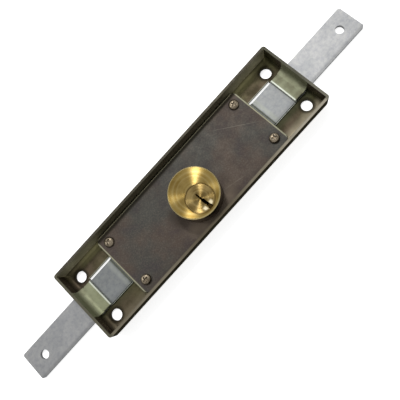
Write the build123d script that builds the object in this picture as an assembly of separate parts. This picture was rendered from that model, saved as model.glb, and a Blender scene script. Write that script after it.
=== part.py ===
"""Roller shutter lock: a pressed steel tray with two flat bolts driven by a keyed cylinder.

The lock lies on its back. X runs along the bolts, Y across the tray, Z from the back plane (z = 0)
towards the key. The origin is the middle of the back. All lengths are millimetres. The bolts are
drawn thrown, which is the locked state; turning the plug once anticlockwise draws both of them in.
"""
import os
from math import acos, cos, pi, radians, sin, sqrt, tan

from build123d import *

# Pressed tray
case_length = 172.0
case_height = 12.0
case_sheet = 1.5
case_bend_radius = 4.0
case_corner_radius = 1.6
case_inner_corner_radius = 0.4
fixing_inset_x = 8.0
fixing_inset_y = 8.5
fixing_hole_diameter = 6.5

# Flat bolts
bolt_width = 18.0
bolt_thickness = 2.0
bolt_reach = 46.3
bolt_hole_diameter = 5.2
bolt_hole_inset = 9.8
bolt_corner_radius = 1.4
bolt_lift = 0.1
joggle_run = 4.2
joggle_bend_radius = 1.5
joggle_gap = 4.0
carriage_width = 24.0
carriage_length = 8.0
carriage_gap = 1.3
arm_reach = 4.0

# Straps and windows of the tray floor
strap_length = 10.6
strap_edge_radius = 0.7
strap_root_radius = 3.6
slot_clearance = 0.3
window_extra = 1.4
window_end_gap = 0.45

# Cover plate and its posts
cover_length = 115.0
cover_side_gap = 0.8
cover_thickness = 1.8
cover_corner_radius = 3.2
cover_edge_chamfer = 0.35
cover_screw_inset_x = 5.8
cover_screw_inset_y = 6.2
post_diameter = 5.0
post_gap = 0.5
post_rivet_diameter = 3.6
post_bore_z = 1.0
screw_diameter = 2.5
screw_hole_diameter = 2.7
screw_tip_gap = 0.1
screw_head_diameter = 6.0
screw_head_height = 1.9
screw_head_chamfer = 0.8
screw_recess_width = 0.7
screw_recess_span = 3.2
screw_recess_depth = 0.9
screw_recess_turn = 30.0

# Cylinder
cylinder_diameter = 28.4
cylinder_x = 0.4
cylinder_wall_gap = 2.5
cylinder_top_z = 18.5
cylinder_chamfer = 0.6
cylinder_clock = 4.7
spigot_diameter = 18.0
plug_offset = 4.7
plug_diameter = 15.8
plug_dish_depth = 0.5
plug_rim_width = 0.5
plug_centre_radius = 0.4
plug_sink = 0.15
plug_foot_z = 7.3
neck_diameter = 5.9
clip_pocket_diameter = 10.0
clip_pocket_z = 6.2
clip_outer_diameter = 8.6
clip_groove_diameter = 4.8
clip_thickness = 0.6
clip_mouth = 4.2
shank_diameter = 3.2
shank_flat_depth = 0.5
keyway_width = 1.8
keyway_mouth_width = 2.5
keyway_narrow_width = 0.9
keyway_mouth_start = 6.6
keyway_ward_at = 4.5
keyway_shoulder_at = 1.2
keyway_step = 0.4
keyway_depth = 3.5
keyway_offset = 0.3
cylinder_screw_x = 9.5
cylinder_screw_rise = 4.3
cylinder_screw_diameter = 2.5
cylinder_screw_head = 5.0
cylinder_screw_length = 6.5
cylinder_slot_width = 0.7
cylinder_slot_depth = 0.6

# Pin stacks
stack_count = 4
stack_first_z = 8.5
stack_pitch = 2.5
pin_diameter = 2.0
pin_point_diameter = 1.0
pin_point_length = 0.5
pin_bore_start = 2.2
key_pin_length = 4.6
driver_pin_length = 3.2
chamber_cap_length = 2.2
chamber_cap_sink = 0.2
spring_wire = 0.35
spring_turns = 3
spring_sides = 4
spring_steps = 12

# Rack drive
gear_module = 0.75
pressure_angle = 30.0
tooth_stub = 0.6
root_gap = 0.2
backlash = 0.12
pinion_teeth = 8
idler_teeth = 10
arm_pitch_gap = 6.0
rack_teeth = 12
rack_root_bite = 0.1
flank_steps = 3
left_arm_width = 5.0
idler_axle_diameter = 3.0
idler_rivet_diameter = 2.4
bush_diameter = 6.0
guide_stud_diameter = 3.0
guide_rivet_diameter = 2.0
guide_stud_x = (-20.0, 0.0)
washer_diameter = 6.0

# Clearances
running_clearance = 0.1
layer_clearance = 0.2
pin_clearance = 0.05

# How far a cut reaches past the metal, and how near an edge has to be to count as found
overshoot = 1.0
nearby = 0.1

# Levels and places that follow from the sizes above
floor_z = case_sheet
bend_top_z = floor_z + case_bend_radius
cut_top_z = floor_z + overshoot
bolt_top_z = bolt_lift + bolt_thickness
strap_under_z = bolt_top_z + layer_clearance
strap_top_z = strap_under_z + case_sheet
layer_z = floor_z + layer_clearance
layer_top_z = layer_z + bolt_thickness
cover_under_z = layer_top_z + layer_clearance + running_clearance
cover_top_z = cover_under_z + cover_thickness
slot_half = bolt_width / 2 + slot_clearance
cover_screw_spacing_x = cover_length - 2 * cover_screw_inset_x
cover_screw_spacing_y = carriage_width + post_diameter + 2 * post_gap
cover_width = cover_screw_spacing_y + 2 * cover_screw_inset_y
case_width = cover_width + 2 * cover_side_gap + 2 * case_sheet
fixing_spacing_x = case_length - 2 * fixing_inset_x
fixing_spacing_y = case_width - 2 * fixing_inset_y
cylinder_y = cylinder_diameter / 2 + cylinder_wall_gap + case_sheet - case_width / 2
plug_y = cylinder_y - plug_offset
cylinder_screw_y = cylinder_y + cylinder_screw_rise
pinion_radius = gear_module * pinion_teeth / 2
idler_radius = gear_module * idler_teeth / 2
tooth_pitch = pi * gear_module
tooth_height = gear_module * tooth_stub
stroke = 2 * pi * pinion_radius
carriage_inner_x = arm_reach + 2 * stroke + carriage_gap
carriage_outer_x = carriage_inner_x + carriage_length
joggle_x = carriage_outer_x + joggle_gap + joggle_run
window_inner_x = joggle_x - joggle_run - stroke - window_end_gap
strap_inner_x = case_length / 2 - strap_length
bolt_tip_x = case_length / 2 + bolt_reach
right_rack_y = plug_y + pinion_radius
right_upper_rack_y = right_rack_y + arm_pitch_gap
idler_y = right_upper_rack_y + idler_radius
left_rack_y = idler_y + idler_radius


def disc(x, y, z0, z1, diameter):
    """An upright round bar between two heights."""
    return Pos(x, y, (z0 + z1) / 2) * Cylinder(diameter / 2, z1 - z0)


def block(x0, x1, y0, y1, z0, z1):
    """A block between two corners."""
    centre = ((x0 + x1) / 2, (y0 + y1) / 2, (z0 + z1) / 2)
    return Pos(*centre) * Box(x1 - x0, y1 - y0, z1 - z0)


def corners(span_x, span_y):
    """The four corners of a centred rectangle."""
    return [(sx * span_x / 2, sy * span_y / 2) for sx in (-1, 1) for sy in (-1, 1)]


def plate(outline, z0, thickness):
    """A flat piece cut to a closed outline in plan."""
    return Pos(0, 0, z0) * extrude(make_face(Polyline(*outline, close=True)), thickness)


def tray():
    """The open pressed box, its floor bends rounded inside and out by one sheet thickness."""
    outer = Pos(0, 0, case_height / 2) * Box(case_length, case_width, case_height)
    outer = fillet(outer.edges().filter_by(Axis.Z), case_corner_radius)
    outer = fillet(outer.edges().group_by(Axis.Z)[0], case_bend_radius)
    inner_height = case_height - case_sheet
    inner = Pos(0, 0, case_sheet + inner_height / 2) * Box(
        case_length - 2 * case_sheet, case_width - 2 * case_sheet, inner_height)
    inner = fillet(inner.edges().filter_by(Axis.Z), case_inner_corner_radius)
    inner = fillet(inner.edges().group_by(Axis.Z)[0], case_bend_radius - case_sheet)
    return outer - inner


def strap(side):
    """The tongue that bridges a bolt: flat over the bolt and turned up into the end wall."""
    wall = case_length / 2 - case_sheet
    bar = block(strap_inner_x, wall + case_sheet / 2, -slot_half, slot_half, strap_under_z, strap_top_z)
    rim = bar.edges().filter_by(Axis.X).group_by(Axis.Z)[-1]
    bar = fillet(rim, strap_edge_radius)
    root = block(wall - strap_root_radius, wall, -slot_half, slot_half, strap_top_z,
                 strap_top_z + strap_root_radius)
    hollow = Pos(wall - strap_root_radius, 0, strap_top_z + strap_root_radius) * Rot(90, 0, 0) * Cylinder(
        strap_root_radius, 2 * slot_half)
    tongue = bar + (root - hollow)
    return tongue if side > 0 else mirror(tongue, Plane.YZ)


def case():
    """The tray with its bolt slots, straps, floor windows and all its holes."""
    body = tray()
    for side in (-1, 1):
        end = side * (case_length / 2 + overshoot)
        wall = side * (case_length / 2 - case_sheet)
        x0, x1 = sorted((side * strap_inner_x, end))
        body -= block(x0, x1, -slot_half, slot_half, -overshoot, bend_top_z)
        x0, x1 = sorted((wall, end))
        body -= block(x0, x1, -slot_half, slot_half, -overshoot, strap_under_z)
        x0, x1 = sorted((side * window_inner_x, side * strap_inner_x))
        body -= block(x0, x1, -slot_half, slot_half + window_extra, -overshoot, cut_top_z)
        body += strap(side)
        x0, x1 = sorted((wall, side * case_length / 2))
        body += block(x0, x1, -slot_half, slot_half, strap_under_z, bend_top_z)
    for x, y in corners(fixing_spacing_x, fixing_spacing_y):
        body -= disc(x, y, -overshoot, cut_top_z, fixing_hole_diameter)
    for x, y in corners(cover_screw_spacing_x, cover_screw_spacing_y):
        body -= disc(x, y, -overshoot, cut_top_z, post_rivet_diameter + pin_clearance)
    for x, y in guide_stud_places():
        body -= disc(x, y, -overshoot, cut_top_z, guide_rivet_diameter + pin_clearance)
    body -= disc(cylinder_x, plug_y, -overshoot, cut_top_z, bush_diameter + pin_clearance)
    body -= disc(cylinder_x, idler_y, -overshoot, cut_top_z, idler_rivet_diameter + pin_clearance)
    return body


def cover_plate():
    """The flat cover: screw holes, the spigot's hole and two countersinks below for the cylinder."""
    sheet = Pos(0, 0, cover_under_z + cover_thickness / 2) * Box(cover_length, cover_width, cover_thickness)
    sheet = fillet(sheet.edges().filter_by(Axis.Z), cover_corner_radius)
    sheet = chamfer(sheet.edges().group_by(Axis.Z)[-1], cover_edge_chamfer)
    for x, y in corners(cover_screw_spacing_x, cover_screw_spacing_y):
        sheet -= disc(x, y, 0, case_height, screw_hole_diameter)
    sheet -= disc(cylinder_x, plug_y, 0, case_height, spigot_diameter + 2 * pin_clearance)
    for side in (-1, 1):
        sheet -= cylinder_screw(side, pin_clearance)
    return sheet


def cover_posts():
    """Four turned posts, riveted through the floor, that the cover is screwed to."""
    posts = []
    for x, y in corners(cover_screw_spacing_x, cover_screw_spacing_y):
        post = disc(x, y, 0, floor_z, post_rivet_diameter)
        post += disc(x, y, floor_z, cover_under_z, post_diameter)
        bore = disc(x, y, post_bore_z, cover_under_z + overshoot, screw_diameter + pin_clearance)
        posts.append(post - bore)
    return posts


def cover_screws():
    """Four pan-head screws with a cross recess."""
    screws = []
    for x, y in corners(cover_screw_spacing_x, cover_screw_spacing_y):
        head = disc(x, y, cover_top_z, cover_top_z + screw_head_height, screw_head_diameter)
        head = chamfer(head.edges().group_by(Axis.Z)[-1], screw_head_chamfer)
        screw = head + disc(x, y, post_bore_z + screw_tip_gap, cover_top_z, screw_diameter)
        recess_z = cover_top_z + screw_head_height - screw_recess_depth
        for turn in (0, 90):
            cross = Box(screw_recess_span, screw_recess_width, 2 * screw_recess_depth)
            screw -= Pos(x, y, recess_z + screw_recess_depth) * Rot(0, 0, turn + screw_recess_turn) * cross
        screws.append(screw)
    return screws


def stack_frame(z):
    """The line of one pin stack: it leaves the plug's axis along local +Z, away from the keyway."""
    return Pos(cylinder_x, plug_y, z) * Rot(0, 0, cylinder_clock) * Rot(-90, 0, 0)


def stack_levels():
    """Heights of the pin stacks."""
    return [stack_first_z + stack_pitch * index for index in range(stack_count)]


def along_stack(z, start, end, diameter):
    """A round bar in one stack, between two distances from the plug's axis."""
    return stack_frame(z) * Pos(0, 0, (start + end) / 2) * Cylinder(diameter / 2, end - start)


def chamber_end():
    """Distance from the plug's axis to the cylinder's outside along the stack."""
    angle = radians(cylinder_clock)
    across = plug_offset * sin(angle)
    return plug_offset * cos(angle) + sqrt((cylinder_diameter / 2) ** 2 - across ** 2)


def shear_line():
    """Distance from the plug's axis at which a flat pin end is clear of the plug's surface."""
    return sqrt((plug_diameter / 2) ** 2 - (pin_diameter / 2) ** 2)


def cylinder_screw(side, grow=0.0):
    """A countersunk screw that holds the cylinder from under the cover."""
    x = cylinder_x + side * cylinder_screw_x
    head_z = cover_under_z + (cylinder_screw_head - cylinder_screw_diameter) / 2
    head = Pos(x, cylinder_screw_y, (cover_under_z + head_z) / 2) * Cone(
        cylinder_screw_head / 2 + grow, cylinder_screw_diameter / 2 + grow, head_z - cover_under_z)
    shank = disc(x, cylinder_screw_y, cover_under_z, cover_under_z + cylinder_screw_length + grow,
                 cylinder_screw_diameter + 2 * grow)
    return head + shank


def cylinder_screws():
    """The two screws, each with a slot."""
    screws = []
    for side in (-1, 1):
        slot = Pos(cylinder_x + side * cylinder_screw_x, cylinder_screw_y, cover_under_z) * Box(
            cylinder_screw_head + overshoot, cylinder_slot_width, 2 * cylinder_slot_depth)
        screws.append(cylinder_screw(side) - slot)
    return screws


def cylinder_body():
    """The brass body: plug bore, ledge, spigot and the pin chambers drilled from its rim."""
    body = disc(cylinder_x, cylinder_y, cover_top_z, cylinder_top_z, cylinder_diameter)
    body = chamfer(body.edges().group_by(Axis.Z)[-1], cylinder_chamfer)
    body += disc(cylinder_x, plug_y, cover_under_z, cover_top_z, spigot_diameter)
    body -= disc(cylinder_x, plug_y, plug_foot_z - pin_clearance, cylinder_top_z + overshoot,
                 plug_diameter + 2 * pin_clearance)
    body -= disc(cylinder_x, plug_y, 0, cylinder_top_z, neck_diameter + 2 * pin_clearance)
    body -= disc(cylinder_x, plug_y, 0, clip_pocket_z, clip_pocket_diameter)
    for z in stack_levels():
        body -= along_stack(z, plug_diameter / 2 - overshoot, chamber_end() + overshoot,
                            pin_diameter + 2 * pin_clearance)
    for side in (-1, 1):
        body -= cylinder_screw(side, pin_clearance)
    return body


def keyway():
    """The warded slot for the key, in the plug's own frame: a mouth at the rim, one ward, a narrow end."""
    mouth, wide, narrow = keyway_mouth_width / 2, keyway_width / 2, keyway_narrow_width / 2
    step, rim = keyway_step, plug_diameter / 2 + overshoot
    right = [(mouth, -rim), (mouth, -keyway_mouth_start), (wide, step - keyway_mouth_start),
             (wide, -keyway_shoulder_at), (narrow, step - keyway_shoulder_at), (narrow, keyway_depth)]
    left = [(-narrow, keyway_depth), (-narrow, step - keyway_shoulder_at), (-wide, -keyway_shoulder_at),
            (-wide, step - keyway_ward_at), (step - wide, -keyway_ward_at), (-wide, -keyway_ward_at - step),
            (-wide, step - keyway_mouth_start), (-mouth, -keyway_mouth_start), (-mouth, -rim)]
    slot = plate(right + left, plug_foot_z, cylinder_top_z - plug_foot_z + overshoot)
    return Pos(keyway_offset, 0, 0) * slot


def plug():
    """The turned plug: dished face, keyway, pin bores, neck and the flatted shank for the pinion."""
    top = cylinder_top_z - plug_sink
    radius = plug_diameter / 2
    face = [(0, plug_foot_z), (radius, plug_foot_z), (radius, top), (radius - plug_rim_width, top),
            (plug_centre_radius, top - plug_dish_depth), (0, top - plug_dish_depth)]
    body = revolve(Plane.XZ * make_face(Polyline(*face, close=True)), Axis.Z)
    body = Rot(0, 0, cylinder_clock) * (body - keyway())
    body = Pos(cylinder_x, plug_y, 0) * body
    shoulder_z = layer_top_z + running_clearance
    body += disc(cylinder_x, plug_y, shoulder_z, plug_foot_z, neck_diameter)
    body += disc(cylinder_x, plug_y, running_clearance, shoulder_z, shank_diameter) - shank_flat()
    for z in stack_levels():
        body -= along_stack(z, pin_bore_start, plug_diameter / 2 + overshoot,
                            pin_diameter + 2 * pin_clearance)
    return body - clip_ring(clip_groove_diameter, neck_diameter + overshoot, 2 * pin_clearance)


def clip_ring(inner, outer, grow=0.0):
    """The ring of space the clip sits in, just under the body's ledge."""
    top = clip_pocket_z - pin_clearance
    bottom = top - clip_thickness - grow
    return disc(cylinder_x, plug_y, bottom, top, outer) - disc(cylinder_x, plug_y, bottom, top, inner)


def plug_clip():
    """The open spring clip in the plug's neck that keeps the plug down in the body."""
    ring = clip_ring(clip_groove_diameter + 2 * pin_clearance, clip_outer_diameter)
    mouth = block(cylinder_x, cylinder_x + clip_outer_diameter, plug_y - clip_mouth / 2,
                  plug_y + clip_mouth / 2, 0, cylinder_top_z)
    return ring - mouth


def shank_flat(clear=0.0):
    """The flat that keys the pinion to the shank."""
    flat = cylinder_x + shank_diameter / 2 - shank_flat_depth + clear
    span = shank_diameter
    return block(flat, flat + span, plug_y - span, plug_y + span, layer_z, layer_top_z)


def key_pins():
    """Pointed pins in the plug, lifted to the shear line as the right key holds them."""
    end = shear_line() - pin_clearance
    start = end - key_pin_length
    pins = []
    for z in stack_levels():
        pin = along_stack(z, start + pin_point_length, end, pin_diameter)
        tip = stack_frame(z) * Pos(0, 0, start + pin_point_length / 2) * Cone(
            pin_point_diameter / 2, pin_diameter / 2, pin_point_length)
        pins.append(pin + tip)
    return pins


def driver_start():
    """Where the driver pins start: just outside the bore that the plug turns in."""
    return plug_diameter / 2 + pin_clearance


def driver_pins():
    """Flat pins in the body, on the shear line."""
    start = driver_start()
    return [along_stack(z, start, start + driver_pin_length, pin_diameter) for z in stack_levels()]


def cap_end():
    """Where the caps end, a little inside the cylinder's rim."""
    return chamber_end() - chamber_cap_sink


def chamber_caps():
    """Brass caps that close the drilled chambers."""
    end = cap_end()
    return [along_stack(z, end - chamber_cap_length, end, pin_diameter) for z in stack_levels()]


def coil_point(step, length):
    """A point on the springs' helix, after a number of its straight steps."""
    radius = pin_diameter / 2 - spring_wire
    angle = 2 * pi * step / spring_steps
    return (radius * cos(angle), radius * sin(angle), length * step / spring_steps / spring_turns)


def pin_springs():
    """Coil springs between the driver pins and the caps, their wire bent in short straight lengths."""
    start = driver_start() + driver_pin_length + spring_wire
    length = cap_end() - chamber_cap_length - spring_wire - start
    path = Polyline(*[coil_point(step, length) for step in range(spring_steps * spring_turns + 1)])
    section = Plane(origin=path @ 0, z_dir=path % 0) * RegularPolygon(spring_wire / 2, spring_sides)
    coil = sweep(section, path, transition=Transition.RIGHT)
    return [stack_frame(z) * Pos(0, 0, start) * coil for z in stack_levels()]


def involute_point(base, radius, flank_angle, side):
    """A point on one flank of a tooth, at a radius, for a flank that starts at a given angle."""
    roll = acos(min(1.0, base / radius))
    angle = flank_angle - side * (tan(roll) - roll)
    return (radius * cos(angle), radius * sin(angle))


def gear_outline(teeth, phase):
    """Outline of a stub-toothed involute gear; phase is the angle of the middle of one tooth."""
    pitch_radius = gear_module * teeth / 2
    base = pitch_radius * cos(radians(pressure_angle))
    tip = pitch_radius + tooth_height
    root = pitch_radius - tooth_height - root_gap
    half = (tooth_pitch / 2 - backlash) / 2 / pitch_radius
    half += tan(radians(pressure_angle)) - radians(pressure_angle)
    start = max(base, root)
    radii = [start + (tip - start) * step / flank_steps for step in range(flank_steps + 1)]
    points = []
    for tooth in range(teeth):
        middle = phase + 2 * pi * tooth / teeth
        points.append((root * cos(middle - half), root * sin(middle - half)))
        points += [involute_point(base, r, middle - half, -1) for r in radii]
        points += [involute_point(base, r, middle + half, 1) for r in reversed(radii)]
        points.append((root * cos(middle + half), root * sin(middle + half)))
    return points


def drive_pinion():
    """The pinion on the plug's shank; a tooth gap faces the rack."""
    phase = pi / 2 + pi / pinion_teeth
    gear = plate(gear_outline(pinion_teeth, phase), layer_z, bolt_thickness)
    gear = Pos(cylinder_x, plug_y, 0) * gear
    bore = disc(cylinder_x, plug_y, 0, cylinder_top_z, shank_diameter + 2 * pin_clearance)
    return gear - (bore - shank_flat(pin_clearance))


def idler_gear():
    """The reversing gear between the two racks; a tooth gap faces each of them."""
    phase = pi / 2 + pi / idler_teeth
    gear = plate(gear_outline(idler_teeth, phase), layer_z, bolt_thickness)
    gear = Pos(cylinder_x, idler_y, 0) * gear
    return gear - disc(cylinder_x, idler_y, 0, cylinder_top_z, idler_axle_diameter + 2 * pin_clearance)


def rack_tooth(x, y, way):
    """One rack tooth in plan; way is +1 where it points to +Y."""
    slope = tan(radians(pressure_angle))
    half = (tooth_pitch / 2 - backlash) / 2
    foot = half + (tooth_height + root_gap) * slope
    tip = half - tooth_height * slope
    root = tooth_height + root_gap
    bite = root + rack_root_bite
    outline = [(x - foot, y - way * bite), (x + foot, y - way * bite), (x + foot, y - way * root),
               (x + tip, y + way * tooth_height), (x - tip, y + way * tooth_height),
               (x - foot, y - way * root)]
    return plate(outline, layer_z, bolt_thickness)


def rack(y, way, side):
    """A row of teeth; one of them stands abreast of the plug and the row runs towards the bolt's own side."""
    row = []
    for index in range(rack_teeth):
        row.append(rack_tooth(cylinder_x + side * (index - 1) * tooth_pitch, y, way))
    return row


def bolt_strip(width):
    """The flat bar on the +X side: straight outside, then joggled up onto the tray's floor."""
    rise = layer_z - bolt_lift
    shift = bolt_thickness * tan(atan_of(rise / joggle_run) / 2)
    outline = [(bolt_tip_x, bolt_lift), (joggle_x, bolt_lift), (joggle_x - joggle_run, layer_z),
               (carriage_inner_x, layer_z), (carriage_inner_x, layer_top_z),
               (joggle_x - joggle_run + shift, layer_top_z), (joggle_x + shift, bolt_top_z),
               (bolt_tip_x, bolt_top_z)]
    profile = Plane.XZ * make_face(Polyline(*outline, close=True))
    bar = extrude(profile, width / 2, both=True)
    bends = [edge for edge in bar.edges().filter_by(Axis.Y)
             if joggle_x - joggle_run - nearby < edge.center().X < joggle_x + shift + nearby]
    return fillet(bends, joggle_bend_radius)


def atan_of(ratio):
    """The angle whose tangent is the ratio."""
    return acos(1 / sqrt(1 + ratio * ratio))


def bolt_blank():
    """What both bolts share on the +X side: the bar, its hole and corners, and the wide carriage."""
    bar = bolt_strip(bolt_width)
    tips = [edge for edge in bar.edges().filter_by(Axis.Z) if edge.center().X > bolt_tip_x - nearby]
    bar = fillet(tips, bolt_corner_radius)
    hole_x = bolt_tip_x - bolt_hole_inset
    bar -= disc(hole_x, 0, -overshoot, bolt_top_z + overshoot, bolt_hole_diameter)
    half = carriage_width / 2
    carriage = block(carriage_inner_x, carriage_outer_x, -half, half, layer_z, layer_top_z)
    carriage = fillet(carriage.edges().filter_by(Axis.Z), bolt_corner_radius)
    return bar + carriage


def bolt_right():
    """The +X bolt: its arm carries a rack on each edge, for the pinion and for the idler."""
    low = right_rack_y + tooth_height + root_gap
    high = right_upper_rack_y - tooth_height - root_gap
    bolt = bolt_blank() + block(-arm_reach, carriage_inner_x + overshoot, low, high, layer_z, layer_top_z)
    for tooth in rack(right_rack_y, -1, 1) + rack(right_upper_rack_y, 1, 1):
        bolt += tooth
    return bolt


def bolt_left():
    """The -X bolt: its arm runs past the idler and carries one rack."""
    low = left_rack_y + tooth_height + root_gap
    high = left_rack_y + left_arm_width
    bolt = mirror(bolt_blank(), Plane.YZ)
    bolt += block(-carriage_inner_x - overshoot, arm_reach, low, high, layer_z, layer_top_z)
    for tooth in rack(left_rack_y, -1, -1):
        bolt += tooth
    return bolt


def tail_bush():
    """The bush in the floor that the plug's shank turns in."""
    bush = disc(cylinder_x, plug_y, 0, floor_z, bush_diameter)
    return bush - disc(cylinder_x, plug_y, -overshoot, cut_top_z, shank_diameter + 2 * pin_clearance)


def idler_axle():
    """The shouldered axle, riveted through the floor."""
    rivet = disc(cylinder_x, idler_y, 0, floor_z, idler_rivet_diameter)
    return rivet + disc(cylinder_x, idler_y, floor_z, cover_under_z - running_clearance, idler_axle_diameter)


def idler_washer():
    """The thin washer that the idler turns on."""
    washer = disc(cylinder_x, idler_y, floor_z, layer_z - pin_clearance, washer_diameter)
    return washer - disc(cylinder_x, idler_y, 0, layer_z, idler_axle_diameter + 2 * pin_clearance)


def guide_stud_places():
    """The studs stand just behind the left bolt's arm."""
    y = left_rack_y + left_arm_width + running_clearance + guide_stud_diameter / 2
    return [(x, y) for x in guide_stud_x]


def guide_studs():
    """Two riveted studs that keep the left bolt's rack in mesh."""
    studs = []
    for x, y in guide_stud_places():
        rivet = disc(x, y, 0, floor_z, guide_rivet_diameter)
        studs.append(rivet + disc(x, y, floor_z, layer_top_z, guide_stud_diameter))
    return studs


def write(name, solids):
    """One STEP file for a node: a single solid, or a group of like ones."""
    shape = solids if not isinstance(solids, list) else Compound(children=[Part(s.wrapped) for s in solids])
    export_step(shape, f"parts/{name}.step")


os.makedirs("parts", exist_ok=True)
for piece in (case, cover_plate, cover_posts, cover_screws, cylinder_body, cylinder_screws, plug,
              plug_clip, key_pins, driver_pins, pin_springs, chamber_caps, drive_pinion, idler_gear,
              bolt_right, bolt_left, tail_bush, idler_axle, idler_washer, guide_studs):
    write(piece.__name__, piece())
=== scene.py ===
# %% [markdown]
# A roller shutter lock, from its construction to its picture.
# The construction is finished before this file starts: every plate, bolt and gear already has its true size
# and place. This lesson gives them their finishes, makes the few pieces whose form is finer than the
# construction holds, such as threaded screws and round-wire springs, and sets up the light and the camera.

import math

import bmesh
import bpy
import numpy as np
from mathutils import Matrix, Vector


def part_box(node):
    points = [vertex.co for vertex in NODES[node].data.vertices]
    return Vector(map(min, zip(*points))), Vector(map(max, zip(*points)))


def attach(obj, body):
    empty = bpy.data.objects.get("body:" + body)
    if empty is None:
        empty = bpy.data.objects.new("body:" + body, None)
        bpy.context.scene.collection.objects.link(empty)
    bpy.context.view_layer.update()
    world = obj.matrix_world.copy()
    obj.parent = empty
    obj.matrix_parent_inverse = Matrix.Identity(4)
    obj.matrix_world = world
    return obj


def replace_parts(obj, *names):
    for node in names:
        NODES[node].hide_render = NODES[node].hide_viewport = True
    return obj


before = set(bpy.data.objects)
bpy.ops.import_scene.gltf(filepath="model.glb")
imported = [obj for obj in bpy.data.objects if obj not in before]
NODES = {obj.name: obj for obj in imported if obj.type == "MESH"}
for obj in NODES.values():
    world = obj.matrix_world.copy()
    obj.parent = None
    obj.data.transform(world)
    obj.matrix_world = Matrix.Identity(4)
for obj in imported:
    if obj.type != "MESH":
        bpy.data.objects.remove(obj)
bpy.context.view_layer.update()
MM = 0.001

# %% [markdown]
# Sizes that the finishes need are read from the frame: a mask that brightens a sheared edge has to know
# where that edge is. Boxes of nodes give most of them, so the picture follows the construction.

# %% The case's half sizes, its sheet and the cover's top corner
_, case_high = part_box("case")
_, cover_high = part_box("cover_plate")
bush_low, bush_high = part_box("tail_bush")
HALF_LENGTH = case_high.x
HALF_WIDTH = case_high.y
RIM_Z = case_high.z
SHEET = bush_high.z - bush_low.z
print("case half length and width in mm:", round(HALF_LENGTH / MM, 2), round(HALF_WIDTH / MM, 2))

# %% [markdown]
# An edge inside a node has no box of its own, so it is looked for among the node's points. The strap's inner
# edge, for example, is the smallest x of all the tray's points that lie over the bolt.

# %% The bolt, the strap over it and the window beside it
FAR = 1.0
BOLT_CLEARANCE = 0.2 * MM


def node_points(node):
    """All mesh points of a node as an array, in metres."""
    mesh = NODES[node].data
    flat = np.empty(3 * len(mesh.vertices))
    mesh.vertices.foreach_get("co", flat)
    return flat.reshape(-1, 3)


def inside(points, x=(-FAR, FAR), y=(-FAR, FAR), z=(-FAR, FAR)):
    """The points that lie between two limits on each axis."""
    low, high = np.array([x, y, z]).T
    return points[((points > low) & (points < high)).all(axis=1)]


case_points, bolt_points = node_points("case"), node_points("bolt_right")
BOLT_TOP = float(inside(bolt_points, x=(HALF_LENGTH, FAR))[:, 2].max())
JOGGLE_X = float(inside(bolt_points, z=(-FAR, 0.15 * MM))[:, 0].min())
over_bolt = inside(case_points, x=(0, FAR), y=(-HALF_WIDTH / 2, HALF_WIDTH / 2),
                   z=(BOLT_TOP, BOLT_TOP + SHEET))
STRAP_END = float(over_bolt[:, 0].min())
STRAP_TOP = BOLT_TOP + BOLT_CLEARANCE + SHEET
at_slot = inside(case_points, x=(HALF_LENGTH - 0.2 * MM, FAR), z=(-FAR, STRAP_TOP))
STRAP_HALF = float(abs(at_slot[:, 1]).min())
window = inside(case_points, x=(STRAP_END - 0.1 * MM, STRAP_END + 0.1 * MM), y=(STRAP_HALF, 2 * STRAP_HALF),
                z=(-FAR, SHEET))
WINDOW_SIDE = float(window[:, 1].min())
print("strap end, top, half width and window side in mm:",
      [round(v / MM, 2) for v in (STRAP_END, STRAP_TOP, STRAP_HALF, WINDOW_SIDE)])

# %% [markdown]
# The coat round a fixing hole has painted shade, so the finish needs the hole's centre and radius. They come
# from the points of the floor's top face, clear of the bends, and the two axes of the cylinder come from its
# boxes. The pin stacks lie in a line beside the plug, and that line also gives the angle at which the keyway
# stands.

# %% A fixing hole, found on the floor's top face
BEND_MARGIN = 4.4 * MM
hole_rim = inside(case_points, x=(1.01 * cover_high.x, HALF_LENGTH - BEND_MARGIN),
                  y=(WINDOW_SIDE + 0.2 * MM, HALF_WIDTH - BEND_MARGIN),
                  z=(SHEET - 0.01 * MM, SHEET + 0.01 * MM))
HOLE_LOW, HOLE_HIGH = hole_rim.min(axis=0), hole_rim.max(axis=0)
HOLE_CENTRE = (HOLE_LOW + HOLE_HIGH) / 2
HOLE_RADIUS = float(HOLE_HIGH[1] - HOLE_LOW[1]) / 2
print("fixing hole's centre and radius in mm:",
      [round(float(v) / MM, 2) for v in (*HOLE_CENTRE[:2], HOLE_RADIUS)])

# %% The cylinder's two axes and the line of the pin stacks
body_low, body_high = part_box("cylinder_body")
plug_low, plug_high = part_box("plug")
driver_low, driver_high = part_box("driver_pins")
cap_low, cap_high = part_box("chamber_caps")
BODY_CENTRE = Vector(((body_low.x + body_high.x) / 2, (body_low.y + body_high.y) / 2, 0))
PLUG_CENTRE = Vector(((plug_low.x + plug_high.x) / 2, (plug_low.y + plug_high.y) / 2, 0))
PLUG_RADIUS = (plug_high.x - plug_low.x) / 2
STACK_WAY = ((cap_low + cap_high) / 2 - (driver_low + driver_high) / 2) * Vector((1, 1, 0))
STACK_WAY.normalize()
PLUG_CLOCK = math.atan2(-STACK_WAY.x, STACK_WAY.y)
print("body and plug centres in mm:", [[round(v / MM, 2) for v in c] for c in (BODY_CENTRE, PLUG_CENTRE)])

# %% [markdown]
# ## Colours
# Paint charts and screens give colours as display values from 0 to 255, but a shader adds and multiplies
# light, so it needs linear values. One helper turns the first into the second, and nearly every colour
# below is written as a display value.

# %% Display values to linear colour
def linear(red, green, blue):
    """Display values 0..255 to linear: v / 12.92 below 0.04045, else ((v + 0.055) / 1.055) ** 2.4."""
    v = np.array([red, green, blue]) / 255
    out = np.where(v <= 0.04045, v / 12.92, ((v + 0.055) / 1.055) ** 2.4)
    return (*[float(c) for c in out], 1.0)


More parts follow.
